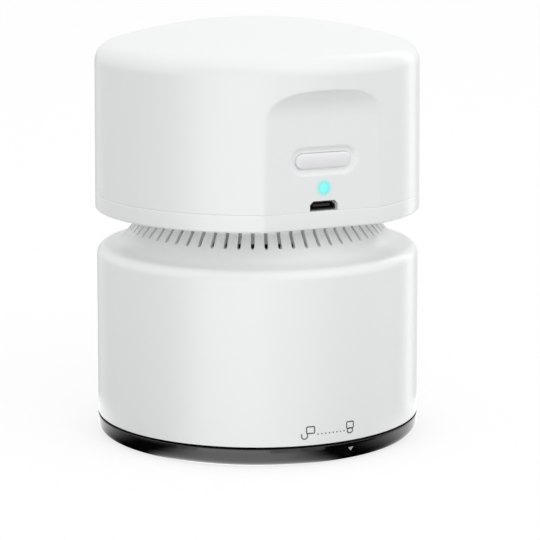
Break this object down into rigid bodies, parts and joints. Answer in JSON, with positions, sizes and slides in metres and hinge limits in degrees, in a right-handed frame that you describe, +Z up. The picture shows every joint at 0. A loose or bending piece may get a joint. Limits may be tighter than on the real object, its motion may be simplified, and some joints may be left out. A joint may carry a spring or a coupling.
{
  "type": "desktop mini vacuum cleaner",
  "caption": "Round desktop mini vacuum: domed upper housing with a button on a flat facet, waist of vent slots, white body and a black twist-off base ring with brushes.",
  "frame": {"origin": "middle of the circle on which the base ring's foot rests", "axes": "+Z up the turning axis of the round body; the flat facet with the button and the charging socket faces -Y"},
  "size_m": [0.0842, 0.0842, 0.108],
  "materials": {
    "white_shell": "smooth moulded gloss white",
    "black_ring": "smooth moulded gloss black",
    "grey_moulding": "satin moulded light grey",
    "black_moulding": "satin moulded black",
    "button_white": "smooth moulded white",
    "motor_steel": "plated deep-drawn steel",
    "shaft_steel": "ground steel",
    "screw_steel": "plated steel",
    "end_cap_nylon": "natural nylon",
    "cell_sleeve": "shrunk film sleeve",
    "board_laminate": "solder-masked laminate",
    "chip_epoxy": "moulded epoxy",
    "socket_tin": "tin-plated stamped steel",
    "lamp_lens": "clear light pipe, lit cyan",
    "foam": "open-cell foam",
    "filter_paper": "pleated filter paper",
    "seal_rubber": "soft moulded rubber",
    "bristle_nylon": "nylon bristles",
    "lead_red": "insulated lead",
    "lead_black": "insulated lead"
  },
  "bodies": {
    "housing": {"top_cover": "white_shell", "upper_base": "white_shell", "body_shell": "white_shell", "fan_shroud": "grey_moulding", "motor_mount": "grey_moulding", "motor_can": "motor_steel", "motor_end_cap": "end_cap_nylon", "filter_gasket": "seal_rubber", "filter_frame": "black_moulding", "filter_media": "filter_paper", "circuit_board": "board_laminate", "switch_body": "motor_steel", "charge_chip": "chip_epoxy", "lamp": "lamp_lens", "light_pipe": "lamp_lens", "charging_socket": "socket_tin", "socket_tongue": "chip_epoxy", "battery_cradle": "grey_moulding", "battery_cell": "cell_sleeve", "battery_pad": "foam", "post_screw_1": "screw_steel", "post_screw_2": "screw_steel", "post_screw_3": "screw_steel", "board_screw_1": "screw_steel", "board_screw_2": "screw_steel", "cradle_screw_1": "screw_steel", "cradle_screw_2": "screw_steel", "motor_lead_red": "lead_red", "motor_lead_black": "lead_black", "cell_lead_red": "lead_red", "cell_lead_black": "lead_black"},
    "base": {"base_ring": "black_ring", "intake_duct": "grey_moulding", "base_seal": "seal_rubber", "brush_strip_1": "bristle_nylon", "brush_strip_2": "bristle_nylon", "brush_strip_3": "bristle_nylon", "brush_strip_4": "bristle_nylon"},
    "rotor": {"motor_shaft": "shaft_steel", "impeller": "grey_moulding"},
    "button": {"power_button": "button_white", "switch_plunger": "chip_epoxy"}
  },
  "joints": [
    {"name": "base_twist", "type": "hinge", "parent": "housing", "child": "base", "pos_m": [0, 0, 0], "axis": [0, 0, 1], "range_deg": [-16, 0]},
    {"name": "rotor_spin", "type": "hinge", "parent": "housing", "child": "rotor", "pos_m": [0, 0, 0.048], "axis": [0, 0, 1], "continuous": true},
    {"name": "button_press", "type": "slide", "parent": "housing", "child": "button", "axis": [0, 1, 0], "range_m": [0, 0.0006], "stiffness_N_per_m": 3000}
  ]
}
